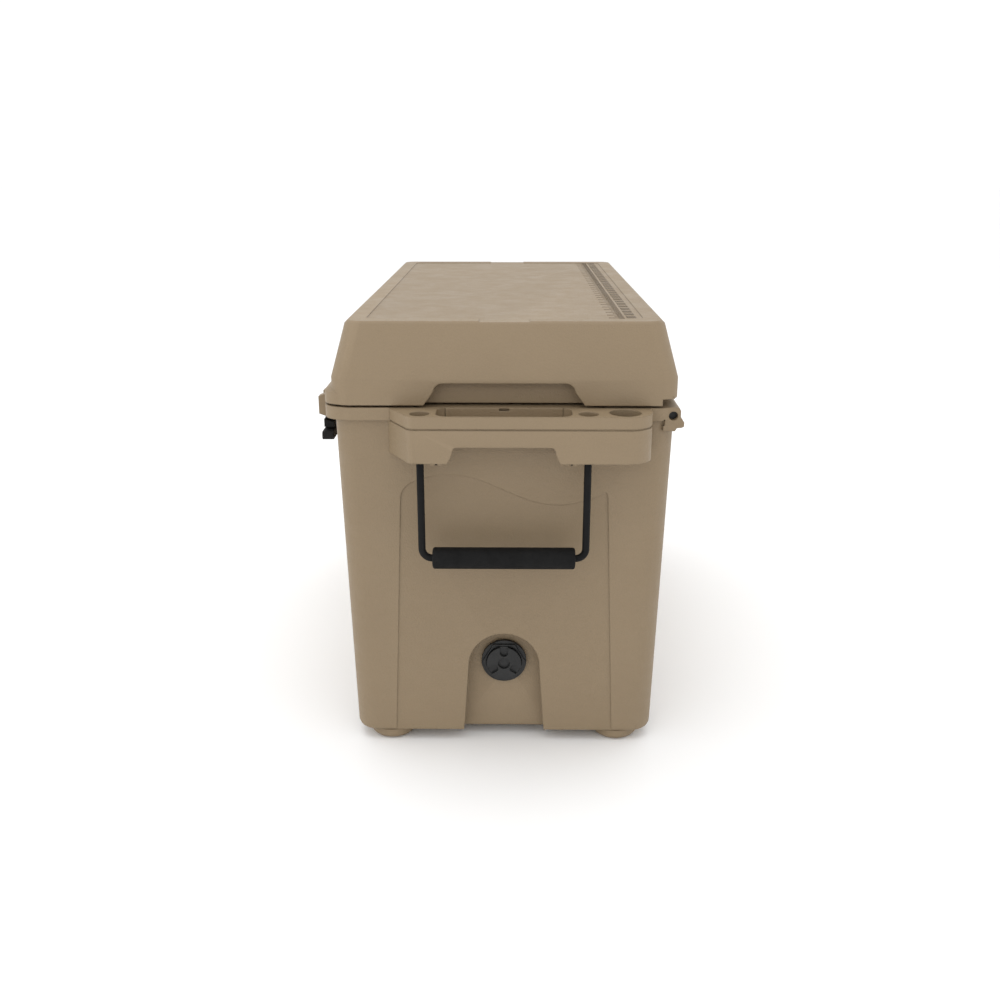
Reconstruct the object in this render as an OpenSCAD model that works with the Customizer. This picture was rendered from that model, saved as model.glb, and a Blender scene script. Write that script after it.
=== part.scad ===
// Roto-moulded cooler chest: insulated tub and lid, rod hinge, rubber latches, bail handles, drain.
// Frame: +Z up, +X the drain end, -Y the latch side, origin on the floor under the tub's centre.

/* [Chest] */
// Length of the lid at its foot
lid_l = 820; // [780:10:900]
// Width of the lid at its foot, without the latch lip
lid_w = 422; // [400:2:440]
// Height of the whole chest, feet included
chest_h = 570; // [560:1:600]
// Height of the tub's rim above the floor
rim_z = 469; // [460:1:475]
// Gap between the rim and the closed lid
lid_gap = 3; // [2.5:0.5:3.5]
// Height of the feet
foot_h = 15; // [12:1:18]

/* [Walls] */
// Thickness of an insulated wall
wall_t = 50; // [46:1:56]
// Thickness of one moulded skin
skin_t = 4; // [3:0.5:5]
// Height of the tub's floor inside
floor_z = 104; // [100:1:110]
// Plan radius of the tub's corners
corner_r = 30; // [24:1:36]

/* [End ledges] */
// How far a ledge stands out from the lid's end
ledge_out = 47; // [44:1:52]
// Thickness of a ledge
ledge_t = 57; // [52:1:60]
// Diameter of the rod holder bore
holder_d = 38; // [34:1:40]

/* [Bails] */
// Diameter of the bail rod
bail_d = 9; // [8:0.5:10]
// Distance between a bail's two legs
bail_w = 202; // [196:1:206]
// Drop from the pivot to the grip
bail_drop = 129; // [120:1:140]
// Diameter of the grip
grip_d = 27; // [24:1:30]
// Length of the grip
grip_l = 176; // [150:1:176]

/* [Hinge] */
// Diameter of the hinge rod
hinge_d = 11; // [10:0.5:11]
// Height of the hinge axis below the rim
hinge_drop = 10.5; // [10:0.5:11]

/* [Latches] */
// Distance of each latch from the chest's middle
latch_x = 284; // [240:2:290]
// Diameter of the latch pin
latch_pin_d = 6; // [5:0.5:6]

/* [Drain] */
// Diameter of the drain's flange
drain_d = 60; // [56:1:62]
// Height of the drain's axis above the floor
drain_z = 115; // [114:1:118]

/* [Hidden] */
$fn = 64;

// Colours
tan_shell = [0.76, 0.66, 0.52];
foam_yellow = [0.92, 0.86, 0.66];
black_rubber = [0.12, 0.12, 0.12];
black_metal = [0.16, 0.16, 0.17];
steel = [0.72, 0.73, 0.75];

// Small values used everywhere
slice = 0.01;
over = 1;
foam_gap = 0.3;
run_gap = 0.05;
touch_gap = 0.2;

// Tub, half sizes in plan
rim_hx = lid_l / 2 - 1;
rim_hy = lid_w / 2;
wall_hx = rim_hx - 4.5;
wall_hy = rim_hy - 0.75;
draft_in = 15.5;
base_hx = wall_hx - draft_in + 1;
base_hy = wall_hy - 10;
base_edge = 6;
rim_drop = 16;
lip_out = 10;
cavity_top = rim_z - 29;

// Liner, half sizes in plan
mouth_hx = wall_hx - wall_t;
mouth_hy = wall_hy - wall_t;
liner_draft = 10;
liner_r = 36;
liner_edge = 16;
sump_l = 52;
sump_w = 66;
sump_drop = 18;
floor_split = 140;

// Ledge plan
ledge_x = lid_l / 2 + ledge_out;
ledge_root = wall_hx - 8;
ledge_front_y = -141;
ledge_taper = 24;
ledge_back_y = 177;
ledge_back_r = 30;
ledge_front_r = 12;
ledge_z = rim_z - ledge_t;
groove_drop = 14.5;
groove_h = 2;
groove_in = 1.4;
notch_half = 61;
notch_flare = 7;
notch_h = 20;
pull_h = 36;
tray_half = 81;
tray_x0 = lid_l / 2 - 1.5;
tray_x1 = ledge_x - 3.5;
tray_deep = 14;
cup_d = 24;
cup_deep = 14;
holder_y = 144;
holder_x = ledge_x - 24;
holder_deep = 46;
weep_d = 8;
slot_l = 12;
slot_w = 3;

// Bail
bail_r = bail_d / 2;
bail_x = ledge_x - 20;
bail_z = ledge_z + 2.5;
leg_y = bail_w / 2;
bend_r = 12.5;
stub_bend_r = 9;
stub_in = 30;
grip_z = bail_z - bail_drop;
block_l = 14;
block_x = 22;
block_top = 22;
block_in = leg_y - stub_in + 3;
block_floor = 7;

// Hinge
hinge_y = rim_hy - 5.5;
hinge_z = rim_z - hinge_drop;
hinge_r = hinge_d / 2;
knuckle_r = 9.5;
end_knuckle_x = 342;
mid_knuckle_x = 60;
knuckle_gap = 0.8;
rod_half = rim_hx - 20;
plug_l = 7;
knuckle_end = wall_hx;

// Lid
lid_z = rim_z + lid_gap;
lid_hx = lid_l / 2;
lid_hy = lid_w / 2;
lid_r = 22;
lid_wall_h = 32;
lid_slope_x = 21;
lid_slope_y = 16;
lid_edge = 4;
lip_h = 14;
lip_hx = lid_hx - 3;
plug_down = 12;
plug_clear = 5;
recess_half = 96;
recess_flare = 14;
recess_h = 27;
recess_deep = 16;
recess_r = 12;
field_in = 25;
field_deep = 1;
field_gap_w = 62;
gasket_w = 10;
gasket_off = 12;
gasket_depth = 3;
lid_notch_h = 8;
lid_notch_y = 191;
foam_r = 80;

// Keeper and latch
keeper_w = 52;
keeper_y = -243;
keeper_slot = 23;
pin_y = -lid_hy - 4;
pin_z = lid_z + 7;
strap_w = 19;
strap_t = 13;
strap_y = -231.5;
eye_r = 7.5;
bulb_w = 42;
bulb_r = 54.5;
bulb_low = 60;
tee_w = 66;
tee_h = 11;
tee_z = 404;

// Drain
arch_r = 47;
arch_deep = 20;
arch_foot = 53;
drain_x = base_hx - arch_deep + 1.5;
flange_t = 8;
tube_r = 19;
tube_bore = 13;
tube_end = 340;
washer_t = 2;
nut_t = 9;
nut_r = 27;
plug_head_r = 23;
plug_head_t = 7;
stem_l = 24;
seal_w = 2.2;

// End panel
panel_half_top = 130;
panel_half_low = 147;
panel_deep = 1.4;
wave_mid = 363;
wave_h = 20;
wave_len = 272;
wave_crest = -69;

// Feet
foot_r = 30;
foot_x = 357;
foot_y = 153;
foot_flat = 21;
foot_screw_d = 5;
foot_boss = 18;

// Shift that centres the chest, hinges and latches included, on the frame
frame_y = 12;

// Fill plugs
fill_r = 12;
fill_x = 240;
fill_head = 15;
fill_head_t = 2;

module at_corners(hx, hy) {
    for (i = [-1, 1], j = [-1, 1])
        translate([i * hx, j * hy, 0]) children();
}

// Four corner discs at one height, to be hulled with others
module corner_set(hx, hy, r, z, cy = 0) {
    translate([0, cy, z])
        at_corners(hx - r, hy - r) cylinder(r = r, h = slice, $fn = 40);
}

module both_ends() {
    children();
    mirror([1, 0, 0]) children();
}

// Extrudes a (y, z) outline along X, centred on x
module along_x(x, w) {
    translate([x - w / 2, 0, 0])
        rotate([90, 0, 90]) linear_extrude(w) children();
}

function arc(cx, cy, r, a0, a1, n) =
    [for (i = [0:n]) let (a = a0 + (a1 - a0) * i / n) [cx + r * cos(a), cy + r * sin(a)]];

// ---------------------------------------------------------------- tub

module tub_form(inset = 0) {
    hull() {
        corner_set(base_hx - base_edge - inset, base_hy - base_edge - inset,
                   corner_r - base_edge, foot_h + inset);
        corner_set(base_hx - 1.8 - inset, base_hy - 1.8 - inset,
                   corner_r - 1.8, foot_h + 1.8 + inset);
        corner_set(base_hx - inset, base_hy - inset, corner_r, foot_h + base_edge + inset);
        corner_set(wall_hx - inset, wall_hy - inset, corner_r, rim_z - slice);
    }
}

module liner_form(grow = 0, top = rim_z + over) {
    low = floor_z - grow;
    hull() {
        corner_set(mouth_hx - liner_draft - liner_edge + grow,
                   mouth_hy - liner_draft - liner_edge + grow, liner_r - liner_edge, low);
        corner_set(mouth_hx - liner_draft - liner_edge * 0.3 + grow,
                   mouth_hy - liner_draft - liner_edge * 0.3 + grow,
                   liner_r - liner_edge * 0.3, low + liner_edge * 0.3);
        corner_set(mouth_hx - liner_draft + grow, mouth_hy - liner_draft + grow,
                   liner_r, low + liner_edge);
        corner_set(mouth_hx + grow, mouth_hy + grow, liner_r, top);
    }
}

// The space between the skins; clear shrinks it for the foam
module foam_space(clear = 0) {
    difference() {
        intersection() {
            tub_form(skin_t + clear);
            translate([-lid_l, -lid_w, 0]) cube([2 * lid_l, 2 * lid_w, cavity_top - clear]);
        }
        liner_form(skin_t + clear);
        drain_boss(clear);
        sump_boss(clear);
        at_fill_ports() cylinder(r = fill_r + skin_t + clear, h = foot_h + 24);
        at_feet() cylinder(r = foot_screw_d + clear, h = foot_h + foot_boss + clear);
    }
}

// Solid plastic left round the drain and behind its arch
module drain_boss(clear) {
    translate([tube_end - 30, 0, drain_z])
        rotate([0, 90, 0]) cylinder(r = arch_r + skin_t + clear, h = 120);
    translate([drain_x - skin_t - clear, -arch_foot - skin_t - clear, 0])
        cube([60, 2 * (arch_foot + skin_t + clear), drain_z]);
}

module sump_boss(clear) {
    wide = sump_w / 2 + skin_t + clear;
    long = sump_l + liner_edge + skin_t + clear;
    deep = floor_z - sump_drop - skin_t - clear;
    translate([mouth_hx - liner_draft - long, -wide, deep]) cube([long + 20, 2 * wide, 60]);
}

module at_fill_ports() {
    for (s = [-1, 1]) translate([s * fill_x, 0, 0]) children();
}

module rim() {
    translate([0, 0, rim_z - rim_drop]) linear_extrude(rim_drop) {
        rounded_bar(2 * rim_hx, 2 * rim_hy, corner_r - 4);
        translate([0, -lip_out]) rounded_bar(2 * rim_hx - 6, 2 * rim_hy, corner_r - 4);
    }
}

function ledge_plan(inset) = concat(
    [[ledge_root, ledge_front_y + inset], [wall_hx + 1, ledge_front_y + inset]],
    arc(ledge_x - ledge_front_r, ledge_front_y + ledge_taper + ledge_front_r,
        ledge_front_r - inset, -62, 0, 5),
    arc(ledge_x - ledge_back_r, ledge_back_y - ledge_back_r, ledge_back_r - inset, 0, 90, 10),
    [[ledge_root, ledge_back_y - inset]]
);

module ledge_body() {
    translate([0, 0, ledge_z])
        linear_extrude(ledge_t) polygon(ledge_plan(0));
}

module ledge_groove() {
    translate([0, 0, rim_z - groove_drop - groove_h])
        linear_extrude(groove_h)
            difference() {
                translate([rim_hx, ledge_front_y - 5])
                    square([ledge_out + 10, ledge_back_y - ledge_front_y + 10]);
                polygon(ledge_plan(groove_in));
            }
}

// Recesses in the ledge's top and the finger notch under its front edge
module ledge_cuts() {
    translate([(tray_x0 + tray_x1) / 2, 0, rim_z - tray_deep])
        linear_extrude(tray_deep + over) rounded_bar(tray_x1 - tray_x0, 2 * tray_half, 14);
    for (s = [-1, 1])
        translate([ledge_x - 17, s * (leg_y - 1), rim_z - cup_deep])
            cylinder(d = cup_d, h = cup_deep + over);
    translate([holder_x, holder_y, rim_z - holder_deep])
        cylinder(d = holder_d, h = holder_deep + over);
    translate([holder_x, holder_y, ledge_z - over])
        cylinder(d = weep_d, h = ledge_t - holder_deep + 2 * over);
    translate([tray_x0 - 4, -slot_l / 2, rim_z - 4]) cube([6, slot_l, slot_w]);
    finger_notch();
    pivot_pockets();
}

// Rounded rectangle of exact arcs, x by y
module rounded_bar(x, y, r) {
    square([x - 2 * r, y], center = true);
    square([x, y - 2 * r], center = true);
    for (i = [-1, 1], j = [-1, 1])
        translate([i * (x / 2 - r), j * (y / 2 - r)]) circle(r = r);
}

module finger_notch() {
    along_x(ledge_x, 2 * (ledge_out + 6))
        polygon(concat(
            [[-notch_half - notch_flare, ledge_z - over], [-notch_half - 3, ledge_z + 6]],
            arc(-notch_half + 5, ledge_z + notch_h - 5, 5, 180, 90, 4),
            arc(notch_half - 5, ledge_z + notch_h - 5, 5, 90, 0, 4),
            [[notch_half + 3, ledge_z + 6], [notch_half + notch_flare, ledge_z - over]]
        ));
    translate([rim_hx + 4, -notch_half + 6, ledge_z])
        cube([ledge_out - 16, 2 * notch_half - 12, pull_h]);
}

// Under the ledge: seats for the pivot blocks and room for the legs to swing
module pivot_pockets() {
    for (s = [-1, 1])
        mirror([0, s < 0 ? 1 : 0, 0]) {
            translate([bail_x - block_x / 2, block_in - touch_gap, ledge_z - over])
                cube([block_x, block_l + 2 * touch_gap, block_top + over + touch_gap]);
            translate([bail_x, block_in - 5, bail_z])
                rotate([-90, 0, 0]) cylinder(r = bail_r + 1.2, h = stub_in + 10);
            translate([bail_x - bail_r - 1.2, block_in - 5, ledge_z - over])
                cube([bail_d + 2.4, stub_in + 10, bail_z - ledge_z + over]);
            leg_swing_cut();
        }
}

// Wedge that the leg sweeps as it swings out to its stop
module leg_swing_cut() {
    wide = bail_d + 3;
    translate([0, leg_y + wide / 2, 0])
        rotate([90, 0, 0]) linear_extrude(wide)
            polygon([
                [bail_x - bail_r - 1, ledge_z - over], [bail_x - bail_r - 1, bail_z + 2],
                [bail_x, bail_z + bail_r + 1.5], [bail_x + 4, bail_z + bail_r + 1],
                [ledge_x - 1, ledge_z + 0.8], [ledge_x + over, ledge_z - over]
            ]);
}

// Shallow panel in the end wall with a waved top edge
module end_panel() {
    lean = atan((draft_in - 1) / (rim_z - foot_h - base_edge));
    translate([base_hx, 0, foot_h + base_edge]) rotate([0, lean, 0])
        translate([-panel_deep, 0, -foot_h - base_edge])
            rotate([90, 0, 90]) linear_extrude(20)
                polygon(concat(
                    [[-panel_half_low, -10]],
                    arc(-panel_half_top + 26, wave_mid - 14, 26, 180, 125, 5),
                    [for (y = [-112:8:128])
                        [y, wave_mid + wave_h * cos(360 * (y - wave_crest) / wave_len)]],
                    [[panel_half_top, wave_mid - 10], [panel_half_low, -10]]
                ));
}

module drain_arch() {
    translate([drain_x, 0, drain_z]) rotate([0, 90, 0]) cylinder(r = arch_r, h = 60);
    along_x(drain_x + 30, 60)
        polygon([
            [-arch_foot - 3, 0], [-arch_foot, foot_h + 12], [-arch_r, drain_z],
            [arch_r, drain_z], [arch_foot, foot_h + 12], [arch_foot + 3, 0]
        ]);
}

// Solid outline of a body knuckle, bored later
module body_knuckle(x, w) {
    along_x(x, w)
        polygon([
            [hinge_y - 12, rim_z], [hinge_y + 4, rim_z], [hinge_y + 7.6, rim_z - 1.4],
            [hinge_y + 9, rim_z - 4.6], [hinge_y + 9, hinge_z - 1], [hinge_y + 13.5, hinge_z - 8],
            [hinge_y + 13.5, hinge_z - 13], [hinge_y + 11, hinge_z - 14.6],
            [hinge_y + 5, hinge_z - 15.2], [hinge_y + 2.5, hinge_z - 19], [hinge_y - 12, hinge_z - 19]
        ]);
}

module keeper() {
    along_x(0, keeper_w)
        polygon([
            [-rim_hy + 6, rim_z], [-rim_hy - lip_out, rim_z], [keeper_y, rim_z - 8],
            [keeper_y, rim_z - 31], [keeper_y + 7, rim_z - 33.5], [-rim_hy - 4, rim_z - 38],
            [-rim_hy + 6, rim_z - 44]
        ]);
}

module keeper_cut() {
    translate([-keeper_slot / 2, keeper_y - over, rim_z - 50])
        cube([keeper_slot, -keeper_y - lid_hy - 1, 52]);
}

module hinge_line(r, x0, x1) {
    translate([x0, hinge_y, hinge_z]) rotate([0, 90, 0]) cylinder(r = r, h = x1 - x0);
}

// Room in the tub's back wall for the lid's knuckles
module knuckle_bay() {
    translate([mid_knuckle_x, hinge_y - knuckle_r - knuckle_gap, hinge_z - knuckle_r - knuckle_gap])
        cube([end_knuckle_x - mid_knuckle_x, 60, 60]);
}

// Outer skin with the rim, the keepers and the hinge knuckles
module tub_shell() {
    color(tan_shell)
        difference() {
            union() {
                tub_form();
                rim();
                both_ends() body_knuckle((end_knuckle_x + knuckle_end) / 2,
                                         knuckle_end - end_knuckle_x);
                body_knuckle(0, 2 * mid_knuckle_x);
                for (s = [-1, 1]) translate([s * latch_x, 0, 0]) keeper();
            }
            liner_zone();
            foam_space();
            both_ends() {
                ledge_cuts();
                end_panel();
                knuckle_bay();
                knuckle_slit();
            }
            hinge_line(hinge_r + run_gap, -lid_l, lid_l);
            for (s = [-1, 1]) translate([s * latch_x, 0, 0]) keeper_cut();
            drain_arch();
            drain_hole();
            at_fill_ports() translate([0, 0, foot_h - over]) {
                cylinder(r = fill_r, h = skin_t + 30);
                cylinder(r = fill_head + touch_gap, h = fill_head_t + over);
            }
            at_feet() cylinder(d = foot_screw_d - 1, h = foot_h + foot_boss - 2);
        }
}

// Shelf on an end wall, with its tray, cups, rod holder and finger notch
module ledge() {
    color(tan_shell)
        difference() {
            ledge_body();
            tub_form();
            rim();
            ledge_groove();
            ledge_cuts();
        }
}

// Inner skin between two heights
module liner_part(z0, z1) {
    color(tan_shell)
        difference() {
            intersection() {
                liner_zone();
                translate([-lid_l, -lid_w, z0]) cube([2 * lid_l, 2 * lid_w, z1 - z0]);
            }
            liner_form();
            sump();
            drain_hole();
        }
}

module liner_zone() {
    liner_form(skin_t);
    sump_boss(0);
}

module drain_hole() {
    translate([tube_end - 40, 0, drain_z])
        rotate([0, 90, 0]) cylinder(r = tube_r, h = 120);
}

module knuckle_slit() {
    translate([knuckle_end - 3, hinge_y - 12.5, hinge_z - 12]) cube([10, 2.2, 8]);
}

// Drain sump in the floor, where the nut sits
module sump() {
    translate([mouth_hx - liner_draft - sump_l - liner_edge, -sump_w / 2, floor_z - sump_drop])
        cube([sump_l + liner_edge - 2, sump_w, 90]);
}

module tub_foam() {
    color(foam_yellow) foam_space(foam_gap);
}

module fill_plug() {
    cylinder(r = fill_head, h = fill_head_t);
    cylinder(r = fill_r - touch_gap, h = 14);
}

module tub_fill_plugs() {
    color(black_rubber) at_fill_ports() translate([0, 0, foot_h]) fill_plug();
}

// ---------------------------------------------------------------- lid

module lid_form() {
    hull() {
        corner_set(lid_hx, lid_hy, lid_r, lid_z);
        corner_set(lid_hx, lid_hy, lid_r, lid_z + lid_wall_h);
        corner_set(lid_hx - lid_slope_x, lid_hy - lid_slope_y, lid_r, chest_h - lid_edge);
        corner_set(lid_hx - lid_slope_x - lid_edge, lid_hy - lid_slope_y - lid_edge,
                   lid_r - lid_edge, chest_h - slice);
    }
}

// Lip along the latch side
module lid_lip() {
    hull() {
        corner_set(lip_hx, lid_hy - lip_out, lid_r + 4, lid_z, -lip_out * 2);
        corner_set(lip_hx, lid_hy - lip_out, lid_r + 4, lid_z + lip_h, -lip_out * 2);
        corner_set(lip_hx - 4, lid_hy - lip_out, lid_r + 4, lid_z + lip_h + 7, -lip_out);
    }
}

// Shallow part that drops into the tub's mouth
module mouth_plug() {
    hull() {
        corner_set(mouth_hx - plug_clear - 4, mouth_hy - plug_clear - 4, liner_r - 4,
                   lid_z - plug_down);
        corner_set(mouth_hx - plug_clear, mouth_hy - plug_clear, liner_r, lid_z + over);
    }
}

// The space between the lid's skins, from three crossed outlines
module lid_foam_space(clear = 0) {
    skin = skin_t + clear;
    low = lid_z + gasket_depth + skin;
    top = chest_h - lid_edge - skin;
    knee = lid_z + lid_wall_h;
    difference() {
        intersection() {
            translate([0, 0, low]) linear_extrude(top - low)
                rounded_bar(2 * (lid_hx - skin), 2 * (lid_hy - skin), foam_r);
            along_x(0, 2 * lid_l) lid_section(lid_hy - skin, lid_slope_y, low - over, knee, top);
            rotate([0, 0, 90]) along_x(0, 2 * lid_l)
                lid_section(lid_hx - skin, lid_slope_x, low - over, knee, top);
        }
        both_ends() end_recess_back(skin);
        at_lid_ports() cylinder(r = fill_r + skin, h = 36);
    }
}

// Upright wall up to the knee, then a slope
module lid_section(half, slope, low, knee, top) {
    lean = slope * (top + over - knee) / (chest_h - lid_edge - knee) + 1;
    polygon([
        [-half, low], [half, low], [half, knee - 2],
        [half - lean, top + over], [lean - half, top + over], [-half, knee - 2]
    ]);
}

module at_lid_ports() {
    for (s = [-1, 1]) translate([s * fill_x, 0, lid_z - plug_down]) children();
}

// Solid plastic kept behind a finger recess
module end_recess_back(grow) {
    half = recess_half + grow;
    translate([lid_hx - recess_deep - grow, -half, lid_z])
        cube([60, 2 * half, recess_h + grow]);
}

// Finger recess low in the lid's end
module end_recess() {
    half = recess_half;
    top = lid_z + recess_h;
    along_x(lid_hx - recess_deep + 30, 60)
        polygon(concat(
            [[-half - 6, lid_z - 4], [-half - 1, lid_z + 1]],
            arc(-half + recess_flare + recess_r - 4, top - recess_r, recess_r, 175, 90, 6),
            arc(half - recess_flare - recess_r + 4, top - recess_r, recess_r, 90, 5, 6),
            [[half + 1, lid_z + 1], [half + 6, lid_z - 4]]
        ));
}

module top_field() {
    edge_x = lid_hx - lid_slope_x - field_in;
    edge_y = lid_hy - lid_slope_y - field_in;
    translate([0, 0, chest_h - field_deep]) linear_extrude(10) {
        rounded_bar(2 * edge_x, 2 * edge_y, 12);
        square([2 * lid_hx, field_gap_w], center = true);
    }
}

// Ring above the tub's rim; a negative grow narrows it both ways
module gasket_ring(z, h, grow = 0) {
    out_x = mouth_hx + gasket_off + gasket_w;
    out_y = mouth_hy + gasket_off + gasket_w;
    in_r = liner_r + gasket_off - gasket_w - grow;
    translate([0, 0, z]) linear_extrude(h)
        difference() {
            rounded_bar(2 * (out_x + grow), 2 * (out_y + grow), liner_r + gasket_off + grow);
            rounded_bar(2 * (out_x - gasket_w - grow), 2 * (out_y - gasket_w - grow), in_r);
        }
}

module lid_knuckle() {
    long = end_knuckle_x - mid_knuckle_x - 2 * knuckle_gap;
    hinge_line(knuckle_r, mid_knuckle_x + knuckle_gap, mid_knuckle_x + knuckle_gap + long);
    translate([mid_knuckle_x + knuckle_gap, hinge_y - knuckle_r, hinge_z])
        cube([long, 2 * knuckle_r, lid_z - hinge_z + 3]);
}

module lid_back_notches() {
    both_ends()
        translate([end_knuckle_x - knuckle_gap, lid_notch_y, lid_z - over])
            cube([lid_hx, 60, lid_notch_h + over]);
    translate([-mid_knuckle_x - knuckle_gap, lid_notch_y, lid_z - over])
        cube([2 * (mid_knuckle_x + knuckle_gap), 60, lid_notch_h + over]);
}

// Bay in the lip where the latch's eye turns on its pin
module latch_bay() {
    wide = strap_w + 2.5;
    translate([-wide / 2, pin_y - 40, lid_z - over]) cube([wide, 40, lip_h + 12]);
    translate([-wide / 2, pin_y, pin_z])
        rotate([0, 90, 0]) cylinder(r = eye_r + 1, h = wide);
    translate([-wide / 2, pin_y - eye_r, lid_z - over])
        cube([wide, 2 * eye_r + 1, pin_z - lid_z + over]);
}

module lid_shell() {
    color(tan_shell)
        difference() {
            union() {
                lid_form();
                lid_lip();
                mouth_plug();
                both_ends() lid_knuckle();
            }
            lid_foam_space();
            both_ends() end_recess();
            top_field();
            gasket_ring(lid_z - over, gasket_depth + over);
            lid_back_notches();
            hinge_line(hinge_r + run_gap, -lid_l, lid_l);
            for (s = [-1, 1]) translate([s * latch_x, 0, 0]) {
                latch_bay();
                translate([-keeper_w / 2, pin_y, pin_z])
                    rotate([0, 90, 0]) cylinder(d = latch_pin_d, h = keeper_w);
            }
            at_lid_ports() translate([0, 0, -over]) {
                cylinder(r = fill_r, h = 30);
                cylinder(r = fill_head + touch_gap, h = fill_head_t + over);
            }
        }
}

module lid_foam() {
    color(foam_yellow)
        difference() {
            lid_foam_space(foam_gap);
            translate([-lid_l, lid_notch_y - skin_t, lid_z])
                cube([2 * lid_l, 60, lid_notch_h + skin_t]);
        }
}

module lid_fill_plugs() {
    color(black_rubber) at_lid_ports() fill_plug();
}

module lid_gasket() {
    color(black_rubber)
        gasket_ring(rim_z + touch_gap, lid_gap + gasket_depth - touch_gap, -touch_gap);
}

// ---------------------------------------------------------------- hinge

module hinge_rod() {
    color(steel) hinge_line(hinge_r, -rod_half, rod_half);
}

module hinge_plug() {
    color(black_rubber) hinge_line(hinge_r + run_gap, rod_half + 0.5, rod_half + 0.5 + plug_l);
}

// ---------------------------------------------------------------- latches

module latch_outline() {
    polygon([
        [pin_y - 5.2, pin_z + 5.4], [pin_y - 7.4, pin_z + 1.2],
        [strap_y - strap_t / 2, pin_z - 22], [strap_y - strap_t / 2, tee_z + 4],
        [strap_y + strap_t / 2, tee_z + 4], [strap_y + strap_t / 2, pin_z - 27],
        [pin_y + 3.4, pin_z - 6.7], [pin_y, pin_z]
    ]);
    translate([pin_y, pin_z]) circle(r = eye_r);
}

// Shoulder that seats under the keeper; its top is round about the pin
module latch_bulb() {
    intersection() {
        along_x(0, bulb_w)
            translate([strap_y - strap_t / 2, pin_z - bulb_low]) square([strap_t, 30]);
        difference() {
            translate([-bulb_w, pin_y, pin_z]) rotate([0, 90, 0]) cylinder(r = 90, h = 2 * bulb_w);
            translate([-bulb_w, pin_y, pin_z])
                rotate([0, 90, 0]) cylinder(r = bulb_r, h = 2 * bulb_w);
        }
    }
}

module latch() {
    color(black_rubber)
        difference() {
            union() {
                along_x(0, strap_w) latch_outline();
                latch_bulb();
                translate([0, strap_y - 0.7, tee_z + tee_h / 2]) rotate([90, 0, 0])
                    linear_extrude(strap_t + 1.4, center = true) rounded_bar(tee_w, tee_h, 5);
            }
            translate([-strap_w, pin_y, pin_z])
                rotate([0, 90, 0]) cylinder(d = latch_pin_d + 2 * run_gap, h = 2 * strap_w);
        }
}

module latch_pin() {
    color(steel)
        translate([-keeper_w / 2 + 2, pin_y, pin_z])
            rotate([0, 90, 0]) cylinder(d = latch_pin_d, h = keeper_w - 4);
}

// ---------------------------------------------------------------- bails

// Quarter of a ring in the YZ plane round (y, z), from angle a
module rod_bend(y, z, r, a) {
    translate([bail_x, y, z]) rotate([90, 0, 90])
        rotate([0, 0, a]) rotate_extrude(angle = 90) translate([r, 0]) circle(r = bail_r);
}

module half_bail() {
    translate([bail_x, leg_y - stub_in, bail_z])
        rotate([-90, 0, 0]) cylinder(r = bail_r, h = stub_in - stub_bend_r);
    rod_bend(leg_y - stub_bend_r, bail_z - stub_bend_r, stub_bend_r, 0);
    translate([bail_x, leg_y, grip_z + bend_r])
        cylinder(r = bail_r, h = bail_drop - stub_bend_r - bend_r);
    rod_bend(leg_y - bend_r, grip_z + bend_r, bend_r, 270);
}

module bail() {
    color(black_metal) {
        half_bail();
        translate([bail_x, bend_r - leg_y, grip_z])
            rotate([-90, 0, 0]) cylinder(r = bail_r, h = 2 * (leg_y - bend_r));
        mirror([0, 1, 0]) half_bail();
    }
}

module grip() {
    color(black_rubber)
        translate([bail_x, 0, grip_z]) rotate([90, 0, 0]) rotate_extrude()
            polygon(concat(
                [[bail_r + run_gap, -grip_l / 2], [grip_d / 2 - 3, -grip_l / 2]],
                arc(grip_d / 2 - 3, -grip_l / 2 + 3, 3, -60, 0, 3),
                arc(grip_d / 2 - 3, grip_l / 2 - 3, 3, 0, 60, 3),
                [[grip_d / 2 - 3, grip_l / 2], [bail_r + run_gap, grip_l / 2]]
            ));
}

module pivot_block() {
    color(black_rubber)
        difference() {
            translate([bail_x - block_x / 2 + touch_gap, block_in, bail_z - block_floor])
                cube([block_x - 2 * touch_gap, block_l, block_top + block_floor - (bail_z - ledge_z)]);
            translate([bail_x, block_in - over, bail_z])
                rotate([-90, 0, 0]) cylinder(r = bail_r + run_gap, h = block_l + 2 * over);
            at_block_screw() {
                cylinder(d = 3.6, h = 40);
                cylinder(d = 6.6, h = 3.4);
            }
        }
}

module at_block_screw() {
    for (s = [-1, 1])
        translate([bail_x + s * 7.6, block_in + block_l / 2, bail_z - block_floor]) children();
}

module pivot_block_screws() {
    color(steel)
        both_ends()
            for (s = [-1, 1])
                mirror([0, s < 0 ? 1 : 0, 0])
                    at_block_screw() translate([0, 0, 0.4]) {
                        cylinder(d = 6.2, h = 2.6);
                        cylinder(d = 3.4, h = 26);
                    }
}

// ---------------------------------------------------------------- drain

module drain_axis(x) {
    translate([x, 0, drain_z]) rotate([0, 90, 0]) children();
}

module drain_fitting() {
    color(black_rubber)
        difference() {
            union() {
                drain_axis(drain_x + washer_t) cylinder(d = drain_d, h = flange_t - 3);
                drain_axis(drain_x + washer_t) rotate([0, 0, 30])
                    cylinder(d = drain_d - 2, h = flange_t, $fn = 6);
                drain_axis(tube_end) cylinder(r = tube_r - touch_gap, h = drain_x - tube_end + 5);
            }
            drain_axis(tube_end - over) cylinder(r = tube_bore + run_gap, h = 100);
            drain_axis(drain_x + washer_t + flange_t - 3) cylinder(r = plug_head_r + 0.4, h = 10);
        }
}

module drain_washer() {
    color(black_rubber)
        drain_axis(drain_x) difference() {
            cylinder(d = drain_d - 2, h = washer_t);
            translate([0, 0, -over]) cylinder(r = tube_r, h = washer_t + 2 * over);
        }
}

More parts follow.
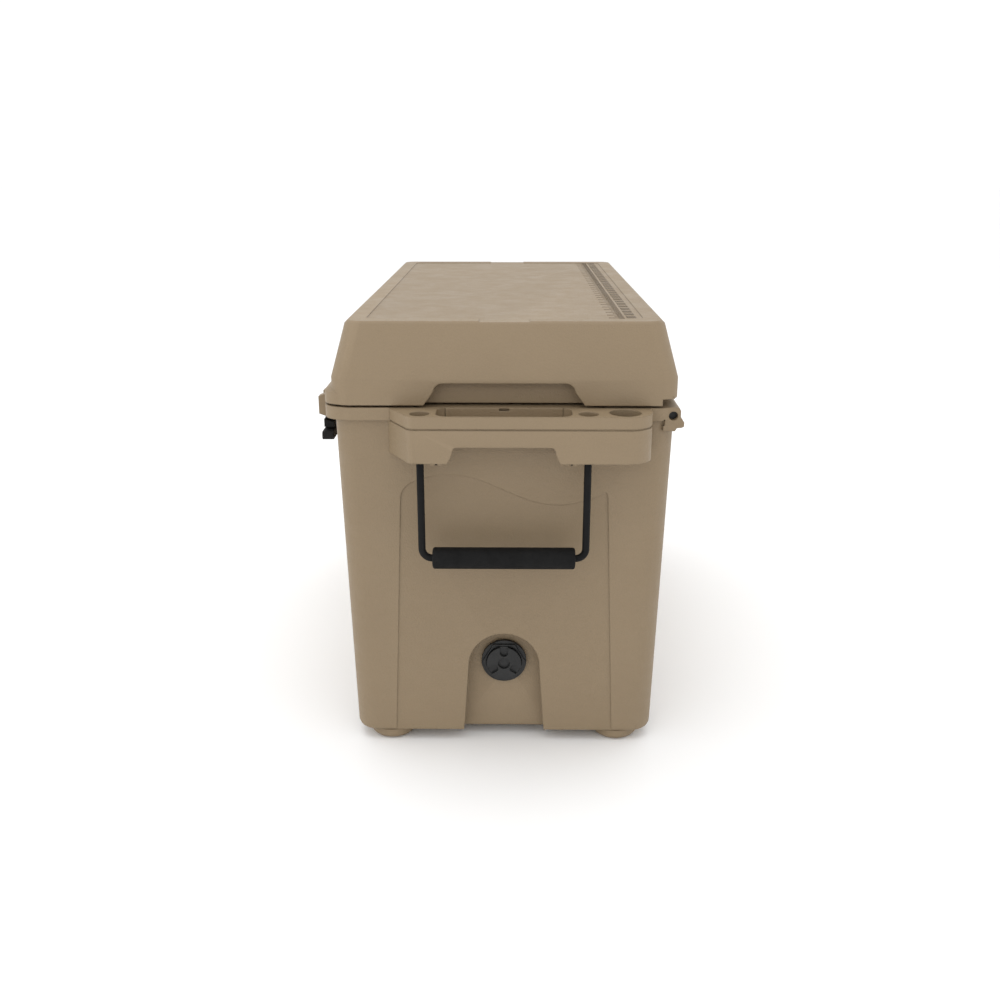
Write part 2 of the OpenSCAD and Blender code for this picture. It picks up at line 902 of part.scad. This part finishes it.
module drain_nut() {
    inner = mouth_hx - liner_draft - 2;
    color(black_rubber)
        drain_axis(inner - nut_t) difference() {
            union() {
                cylinder(r = nut_r, h = 3.5);
                cylinder(r = nut_r - 2, h = nut_t, $fn = 8);
            }
            translate([0, 0, -over]) cylinder(r = tube_r, h = nut_t + 2 * over);
        }
}

// Plug with a three-lobed hollow for the fingers
module drain_plug() {
    seat = drain_x + washer_t + flange_t - 3;
    color(black_rubber)
        difference() {
            union() {
                drain_axis(seat + 0.3) cylinder(r = plug_head_r, h = plug_head_t);
                drain_axis(seat - stem_l) cylinder(r = tube_bore, h = stem_l + over);
            }
            drain_axis(seat - 8) difference() {
                cylinder(r = tube_bore + 1, h = seal_w);
                translate([0, 0, -over]) cylinder(r = tube_bore - 2, h = seal_w + 2 * over);
            }
            for (a = [0:120:240])
                drain_axis(seat + plug_head_t - 3.5) rotate([0, 0, a])
                    translate([-plug_head_r * 0.78, 0, 0])
                        linear_extrude(10) rounded_bar(16, 11, 5);
            drain_axis(seat + plug_head_t - 3.5) cylinder(r = 8, h = 10);
        }
}

module drain_seal() {
    seat = drain_x + washer_t + flange_t - 3;
    color(black_rubber)
        drain_axis(seat - 8 + touch_gap) difference() {
            cylinder(r = tube_bore, h = seal_w - 2 * touch_gap);
            translate([0, 0, -over])
                cylinder(r = tube_bore - 2 + touch_gap, h = seal_w + 2 * over);
        }
}

// ---------------------------------------------------------------- feet

module at_feet() {
    at_corners(foot_x, foot_y) children();
}

module foot(sx, sy) {
    color(tan_shell)
        translate([sx * foot_x, sy * foot_y, 0]) difference() {
            rotate_extrude()
                polygon(concat(
                    [[0, 0]], arc(foot_flat, foot_h - 5, foot_h - 5, -90, -12, 8),
                    [[foot_r, foot_h], [0, foot_h]]
                ));
            translate([0, 0, -over]) cylinder(d = foot_screw_d, h = foot_h + 2 * over);
            translate([0, 0, -over]) cylinder(d = 10, h = 6 + over);
        }
}

module foot_screws() {
    color(steel)
        at_feet() translate([0, 0, 3]) {
            cylinder(d = 9, h = 3);
            cylinder(d = foot_screw_d - 1, h = 26);
        }
}

module placed() {
    translate([0, frame_y, 0]) children();
}

// ---------------------------------------------------------------- nodes

placed() tub_shell();
placed() liner_part(floor_split, rim_z);  // tub_liner
placed() liner_part(0, floor_split);  // tub_floor
placed() ledge();  // ledge_drain_end
placed() mirror([1, 0, 0]) ledge();  // ledge_plain_end
placed() tub_foam();
placed() tub_fill_plugs();
placed() lid_shell();
placed() lid_foam();
placed() lid_fill_plugs();
placed() lid_gasket();
placed() hinge_rod();
placed() hinge_plug();  // hinge_plug_drain_end
placed() mirror([1, 0, 0]) hinge_plug();  // hinge_plug_plain_end
placed() translate([latch_x, 0, 0]) latch();  // latch_drain_end
placed() translate([-latch_x, 0, 0]) latch();  // latch_plain_end
placed() translate([latch_x, 0, 0]) latch_pin();  // latch_pin_drain_end
placed() translate([-latch_x, 0, 0]) latch_pin();  // latch_pin_plain_end
placed() bail();  // bail_drain_end
placed() mirror([1, 0, 0]) bail();  // bail_plain_end
placed() grip();  // grip_drain_end
placed() mirror([1, 0, 0]) grip();  // grip_plain_end
placed() mirror([0, 1, 0]) pivot_block();  // pivot_block_drain_front
placed() pivot_block();  // pivot_block_drain_back
placed()  // pivot_block_plain_front
    mirror([1, 0, 0]) mirror([0, 1, 0]) pivot_block();
placed() mirror([1, 0, 0]) pivot_block();  // pivot_block_plain_back
placed() pivot_block_screws();
placed() drain_fitting();
placed() drain_washer();
placed() drain_nut();
placed() drain_plug();
placed() drain_seal();
placed() foot(1, -1);  // foot_drain_front
placed() foot(1, 1);  // foot_drain_back
placed() foot(-1, -1);  // foot_plain_front
placed() foot(-1, 1);  // foot_plain_back
placed() foot_screws();
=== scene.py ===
import math

import bmesh
import bpy
from mathutils import Euler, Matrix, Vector


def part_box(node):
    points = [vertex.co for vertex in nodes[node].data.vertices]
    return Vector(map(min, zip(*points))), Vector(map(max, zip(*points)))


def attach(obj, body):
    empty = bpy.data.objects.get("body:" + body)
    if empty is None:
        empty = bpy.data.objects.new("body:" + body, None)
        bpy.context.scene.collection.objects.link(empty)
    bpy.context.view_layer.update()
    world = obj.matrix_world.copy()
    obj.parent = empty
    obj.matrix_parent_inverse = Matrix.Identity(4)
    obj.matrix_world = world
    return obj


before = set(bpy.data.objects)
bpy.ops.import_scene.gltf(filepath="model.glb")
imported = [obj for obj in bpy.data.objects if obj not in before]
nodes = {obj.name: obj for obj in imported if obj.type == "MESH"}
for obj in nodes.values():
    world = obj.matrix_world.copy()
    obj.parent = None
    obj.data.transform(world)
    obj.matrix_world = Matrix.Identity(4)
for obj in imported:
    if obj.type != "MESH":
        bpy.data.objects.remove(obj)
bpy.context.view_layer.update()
scene = bpy.context.scene

MM = 0.001
LID_LO, LID_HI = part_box("lid_shell")
MID_Y = (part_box("foot_drain_front")[0][1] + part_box("foot_drain_back")[1][1]) / 2


# ---------------------------------------------------------------- camera

LENS = 37.5
PITCH = math.radians(18.08)
YAW = math.radians(0.63)
CAMERA_AHEAD = 1.23
CAMERA_ABOVE_LID = 0.184
CAMERA_SIDE = 0.0085


def make_camera():
    data = bpy.data.cameras.new("camera")
    data.lens = LENS
    data.sensor_width = 36.0
    data.clip_end = 100.0
    camera = bpy.data.objects.new("camera", data)
    scene.collection.objects.link(camera)
    camera.location = (LID_HI[0] + CAMERA_AHEAD, MID_Y + CAMERA_SIDE,
                       LID_HI[2] + CAMERA_ABOVE_LID)
    camera.rotation_euler = Euler((math.radians(90) - PITCH, 0, math.radians(90) + YAW))
    scene.camera = camera


# ---------------------------------------------------------------- materials

TAN = (0.245, 0.180, 0.108)

class Graph:
    """Short names for building one node material."""

    def __init__(self, name):
        self.material = bpy.data.materials.new(name)
        self.material.use_nodes = True
        self.tree = self.material.node_tree
        self.shader = self.tree.nodes["Principled BSDF"]
        self.coords = self.tree.nodes.new("ShaderNodeTexCoord").outputs["Object"]
        self.rounding = None

    def set(self, **values):
        for key, value in values.items():
            self.shader.inputs[key.replace("_", " ")].default_value = value

    def link(self, out, socket):
        self.tree.links.new(out, socket)

    def noise(self, scale, detail=3.0, rough=0.5, stretch=None):
        node = self.tree.nodes.new("ShaderNodeTexNoise")
        node.inputs["Scale"].default_value = scale
        node.inputs["Detail"].default_value = detail
        node.inputs["Roughness"].default_value = rough
        self.link(self.stretched(stretch), node.inputs["Vector"])
        return node.outputs["Fac"]

    def cells(self, scale, smooth=0.6):
        node = self.tree.nodes.new("ShaderNodeTexVoronoi")
        node.feature = "SMOOTH_F1"
        node.inputs["Scale"].default_value = scale
        node.inputs["Smoothness"].default_value = smooth
        self.link(self.coords, node.inputs["Vector"])
        return node.outputs["Distance"]

    def stretched(self, stretch):
        if stretch is None:
            return self.coords
        node = self.tree.nodes.new("ShaderNodeMapping")
        node.inputs["Scale"].default_value = stretch
        self.link(self.coords, node.inputs["Vector"])
        return node.outputs["Vector"]

    def ramp(self, fac, stops):
        node = self.tree.nodes.new("ShaderNodeValToRGB")
        elements = node.color_ramp.elements
        while len(elements) < len(stops):
            elements.new(0.5)
        for element, (place, value) in zip(elements, stops):
            element.position = place
            colour = value if isinstance(value, tuple) else (value, value, value)
            element.color = (*colour, 1.0)
        self.link(fac, node.inputs["Fac"])
        return node.outputs["Color"]

    def mix(self, fac, a, b, mode="MIX"):
        node = self.tree.nodes.new("ShaderNodeMix")
        node.data_type = "RGBA"
        node.blend_type = mode
        for value, socket in ((fac, node.inputs[0]), (a, node.inputs[6]), (b, node.inputs[7])):
            if isinstance(value, tuple):
                socket.default_value = (*value, 1.0)
            elif isinstance(value, float):
                socket.default_value = value
            else:
                self.link(value, socket)
        return node.outputs[2]

    def add(self, a, b, weight):
        node = self.tree.nodes.new("ShaderNodeMath")
        node.operation = "MULTIPLY_ADD"
        self.link(b, node.inputs[0])
        node.inputs[1].default_value = weight
        self.link(a, node.inputs[2])
        return node.outputs[0]

    def bump(self, height, distance, strength=1.0):
        node = self.tree.nodes.new("ShaderNodeBump")
        node.inputs["Strength"].default_value = strength
        node.inputs["Distance"].default_value = distance
        self.link(height, node.inputs["Height"])
        if self.rounding:
            self.link(self.rounding.outputs["Normal"], node.inputs["Normal"])
        self.link(node.outputs["Normal"], self.shader.inputs["Normal"])

    def soft_edges(self, radius):
        """Rounds the shading over every edge, inner corners included."""
        self.rounding = self.tree.nodes.new("ShaderNodeBevel")
        self.rounding.samples = 6
        self.rounding.inputs["Radius"].default_value = radius

    def pointiness(self):
        return self.tree.nodes.new("ShaderNodeNewGeometry").outputs["Pointiness"]


def moulded_plastic(name, base, grain=1.0):
    """Roto-moulded polyethylene: pebbled skin, faint mottling, dull scuffs and paler worn edges."""
    g = Graph(name)
    g.soft_edges(2.2 * MM)
    darker = tuple(c * 0.97 for c in base)
    paler = tuple(c * 1.04 for c in base)
    mottle = g.ramp(g.noise(7.0, 4.0, 0.6), [(0.30, darker), (0.55, base), (0.75, paler)])
    speckle = g.ramp(g.noise(900.0, 2.0, 0.7), [(0.35, 0.90), (0.60, 1.0)])
    colour = g.mix(0.55, mottle, speckle, "MULTIPLY")
    worn = g.ramp(g.pointiness(), [(0.50, 0.0), (0.58, 0.35)])
    colour = g.mix(worn, colour, tuple(min(1.0, c * 1.22 + 0.02) for c in base))
    grime = g.ramp(g.noise(3.0, 6.0, 0.7, (1.0, 1.0, 0.35)), [(0.55, 0.0), (0.80, 0.05)])
    colour = g.mix(grime, colour, tuple(c * 0.72 for c in base))
    g.link(colour, g.shader.inputs["Base Color"])
    scuffs = g.noise(26.0, 8.0, 0.75, (1.0, 1.0, 3.0))
    g.link(g.ramp(scuffs, [(0.35, 0.46), (0.70, 0.62)]), g.shader.inputs["Roughness"])
    pebble = g.add(g.cells(420.0), g.noise(1300.0, 2.0), 0.35)
    pebble = g.add(pebble, g.noise(28.0, 2.0), 1.2)
    g.bump(pebble, 0.00035 * grain, 0.75)
    g.set(Specular_IOR_Level=0.42, Subsurface_Weight=0.0)
    return g.material


def black_rubber(name, tone=0.012):
    """Moulded rubber: near black, grey bloom, fine grain."""
    g = Graph(name)
    bloom = g.ramp(g.noise(35.0, 6.0, 0.7), [(0.30, tone), (0.80, tone * 2.1)])
    dust = g.ramp(g.noise(400.0, 3.0, 0.6), [(0.45, 0.0), (0.85, 0.12)])
    g.link(g.mix(dust, bloom, (0.030, 0.028, 0.025)), g.shader.inputs["Base Color"])
    g.link(g.ramp(g.noise(60.0, 4.0), [(0.3, 0.52), (0.7, 0.74)]), g.shader.inputs["Roughness"])
    g.bump(g.add(g.noise(1500.0, 2.0), g.cells(700.0), 0.6), 0.00018, 0.6)
    g.set(Specular_IOR_Level=0.10)
    return g.material


def black_nylon(name):
    """Injection-moulded nylon: spark-eroded texture and a soft sheen."""
    g = Graph(name)
    g.link(g.ramp(g.noise(50.0, 4.0), [(0.3, 0.014), (0.75, 0.024)]), g.shader.inputs["Base Color"])
    g.link(g.ramp(g.noise(120.0, 4.0), [(0.3, 0.30), (0.7, 0.46)]), g.shader.inputs["Roughness"])
    g.bump(g.noise(2200.0, 2.0), 0.00010, 0.5)
    g.set(Specular_IOR_Level=0.30)
    return g.material


def powder_coat(name):
    """Black powder coat over steel: orange peel, and bright metal on a few rubbed spots."""
    g = Graph(name)
    rubbed = g.ramp(g.noise(70.0, 8.0, 0.8), [(0.66, 0.0), (0.74, 0.5)])
    coat = g.ramp(g.noise(25.0, 3.0), [(0.3, 0.007), (0.8, 0.014)])
    g.link(g.mix(rubbed, coat, (0.035, 0.034, 0.032)), g.shader.inputs["Base Color"])
    g.link(g.ramp(g.noise(90.0, 3.0), [(0.3, 0.34), (0.7, 0.48)]), g.shader.inputs["Roughness"])
    g.bump(g.noise(800.0, 2.0), 0.00012, 0.6)
    g.set(Specular_IOR_Level=0.08)
    return g.material


def brushed_steel(name, stretch):
    """Stainless steel, drawn along one axis."""
    g = Graph(name)
    lines = g.noise(500.0, 5.0, 0.7, stretch)
    g.link(g.ramp(lines, [(0.3, (0.42, 0.42, 0.43)), (0.7, (0.62, 0.62, 0.63))]),
           g.shader.inputs["Base Color"])
    g.link(g.ramp(lines, [(0.3, 0.24), (0.7, 0.42)]), g.shader.inputs["Roughness"])
    g.bump(lines, 0.00004, 0.5)
    g.set(Metallic=1.0)
    return g.material


def rigid_foam(name):
    g = Graph(name)
    cells = g.cells(500.0)
    g.link(g.ramp(cells, [(0.1, (0.62, 0.52, 0.30)), (0.6, (0.80, 0.72, 0.48))]),
           g.shader.inputs["Base Color"])
    g.bump(cells, 0.0006, 0.8)
    g.set(Roughness=0.9)
    return g.material


def paint_all(material, *names):
    for name in names:
        put_material(nodes[name], material)


def put_material(obj, material):
    obj.data.materials.clear()
    obj.data.materials.append(material)


# ---------------------------------------------------------------- mesh helpers

def new_piece(name, mesh, material, body):
    obj = bpy.data.objects.new(name, mesh)
    scene.collection.objects.link(obj)
    put_material(obj, material)
    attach(obj, body)
    return obj


def rounded_node(name, width, segments=2, angle=35):
    """A small bevel and weighted normals on a CAD node that stays."""
    obj = nodes[name]
    for polygon in obj.data.polygons:
        polygon.use_smooth = True
    weld = obj.modifiers.new("weld", "WELD")
    weld.merge_threshold = 0.00002
    bevel = obj.modifiers.new("bevel", "BEVEL")
    bevel.width = width
    bevel.segments = segments
    bevel.limit_method = "ANGLE"
    bevel.angle_limit = math.radians(angle)
    bevel.use_clamp_overlap = True
    normals = obj.modifiers.new("normals", "WEIGHTED_NORMAL")
    normals.keep_sharp = False
    return obj


# ---------------------------------------------------------------- lid scale

SCALE_ROWS = (128.5 * MM, 150.5 * MM)
SCALE_PITCH = 6.25 * MM
SCALE_LENGTHS = (19 * MM, 7 * MM, 11 * MM, 7 * MM)
SCALE_MARGIN = 34 * MM
SECOND_ROW_LENGTH = 12 * MM
MARK_THICK = 0.3 * MM
MARK_WIDE = (2.8 * MM, 3.6 * MM)
FIELD_DEEP = 1 * MM


def add_block(bm, x0, x1, y0, y1, z0, z1):
    verts = [bm.verts.new((x, y, z)) for z in (z0, z1) for x, y in
             ((x0, y0), (x1, y0), (x1, y1), (x0, y1))]
    for ring in ((3, 2, 1, 0), (4, 5, 6, 7), (0, 1, 5, 4), (1, 2, 6, 5), (2, 3, 7, 6), (3, 0, 4, 7)):
        bm.faces.new([verts[i] for i in ring])


def make_lid_scale(material):
    """Two rows of generic measuring marks along the back of the lid's top, drawn as thin blocks in a
    darker tan that is painted shade in place of debossing.
    """
    bm = bmesh.new()
    top = LID_HI[2] - FIELD_DEEP
    end = LID_HI[0] - SCALE_MARGIN
    full = SCALE_LENGTHS[0]
    for i in range(int(2 * end / SCALE_PITCH)):
        x = end - i * SCALE_PITCH
        place = i % len(SCALE_LENGTHS)
        y0 = MID_Y + SCALE_ROWS[0] + full - SCALE_LENGTHS[place]
        add_block(bm, x - MARK_WIDE[0], x, y0, MID_Y + SCALE_ROWS[0] + full,
                  top - MARK_THICK, top + MARK_THICK)
        if place < 3:
            y0 = MID_Y + SCALE_ROWS[1]
            add_block(bm, x - MARK_WIDE[1], x, y0, y0 + SECOND_ROW_LENGTH,
                      top - MARK_THICK, top + MARK_THICK)
    mesh = bpy.data.meshes.new("lid_scale_marks")
    bm.to_mesh(mesh)
    bm.free()
    new_piece("lid_scale_marks", mesh, material, "lid")


# ---------------------------------------------------------------- hinge notches

NOTCH_FROM_Y = 191.2 * MM
NOTCH_TO_Y = 206.2 * MM
NOTCH_SPANS = ((-405 * MM, -341.4 * MM), (-60.6 * MM, 60.6 * MM), (341.4 * MM, 405 * MM))
NOTCH_ABOVE_SEAL = 4.9 * MM
LINING = 1.5 * MM


def make_notch_lining(material):
    """Closes the skin above the three hinge notches in the lid's back edge."""
    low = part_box("lid_gasket")[1][2] + NOTCH_ABOVE_SEAL
    bm = bmesh.new()
    for x0, x1 in NOTCH_SPANS:
        add_block(bm, x0, x1, MID_Y + NOTCH_FROM_Y, MID_Y + NOTCH_TO_Y, low, low + LINING)
    mesh = bpy.data.meshes.new("lid_notch_lining")
    bm.to_mesh(mesh)
    bm.free()
    new_piece("lid_notch_lining", mesh, material, "lid")


# ---------------------------------------------------------------- stage

FLOOR_SIZE = 60.0

def make_floor():
    bm = bmesh.new()
    bmesh.ops.create_grid(bm, x_segments=1, y_segments=1, size=FLOOR_SIZE / 2)
    mesh = bpy.data.meshes.new("floor")
    bm.to_mesh(mesh)
    bm.free()
    floor = bpy.data.objects.new("floor", mesh)
    scene.collection.objects.link(floor)
    g = Graph("pale_floor")
    g.link(g.ramp(g.noise(2.0), [(0.3, (0.95, 0.95, 0.95)), (0.7, (0.97, 0.97, 0.97))]),
           g.shader.inputs["Base Color"])
    g.set(Roughness=0.8, Specular_IOR_Level=0.1)
    put_material(floor, g.material)


def make_light(name, place, target, size, power):
    data = bpy.data.lights.new(name, "AREA")
    data.shape = "RECTANGLE"
    data.size, data.size_y = size
    data.energy = power
    light = bpy.data.objects.new(name, data)
    scene.collection.objects.link(light)
    light.location = place
    light.rotation_euler = (Vector(target) - Vector(place)).to_track_quat("-Z", "Y").to_euler()


def make_lights():
    middle = (0.0, 0.0, 0.3)
    make_light("top_softbox", (0.2, -0.3, 3.0), middle, (3.2, 2.6), 25.0)
    make_light("front_softbox", (3.4, -1.6, 1.9), middle, (2.4, 2.0), 5.0)
    make_light("side_softbox", (0.6, -3.4, 1.7), middle, (2.6, 2.0), 8.0)
    make_light("back_softbox", (-2.4, 2.6, 2.2), middle, (2.4, 2.0), 8.0)
    world = bpy.data.worlds.new("studio")
    world.use_nodes = True
    background = world.node_tree.nodes["Background"]
    background.inputs["Color"].default_value = (1.0, 1.0, 1.0, 1.0)
    background.inputs["Strength"].default_value = 1.06
    scene.world = world
    scene.view_settings.view_transform = "Standard"
    scene.view_settings.look = "None"


# ---------------------------------------------------------------- make it

make_camera()
make_floor()
make_lights()

tan = moulded_plastic("tan_moulded", TAN)
rubber = black_rubber("latch_rubber")
grip_rubber = black_rubber("grip_rubber", 0.006)
nylon = black_nylon("black_nylon")
coat = powder_coat("powder_coat")
steel_x = brushed_steel("steel_along_x", (0.05, 1.0, 1.0))
# Scale marks at 0.62 of TAN: painted shade for debossed marks that are really the lid's own tan.
marks = moulded_plastic("scale_marks_painted_shade", tuple(c * 0.62 for c in TAN), 0.6)

MOULDED = ("tub_shell", "lid_shell", "ledge_drain_end", "ledge_plain_end", "tub_liner",
           "tub_floor")
BLOCKS = ("pivot_block_drain_front", "pivot_block_drain_back", "pivot_block_plain_front",
          "pivot_block_plain_back")
FEET = ("foot_drain_front", "foot_drain_back", "foot_plain_front", "foot_plain_back")

for node_name in nodes:
    rounded_node(node_name, 2.4 * MM if node_name in MOULDED else 0.6 * MM)
paint_all(rigid_foam("rigid_foam"), "tub_foam", "lid_foam")
paint_all(nylon, "tub_fill_plugs", "lid_fill_plugs", "hinge_plug_drain_end", "hinge_plug_plain_end",
          "drain_fitting", "drain_nut", "drain_plug")
paint_all(rubber, "lid_gasket", "latch_drain_end", "latch_plain_end", "drain_washer", "drain_seal")
paint_all(coat, "bail_drain_end", "bail_plain_end")
paint_all(grip_rubber, "grip_drain_end", "grip_plain_end")
paint_all(coat, "pivot_block_screws")
paint_all(steel_x, "hinge_rod", "latch_pin_drain_end", "latch_pin_plain_end", "foot_screws")
paint_all(tan, *MOULDED, *FEET, *BLOCKS)
make_lid_scale(marks)
make_notch_lining(tan)
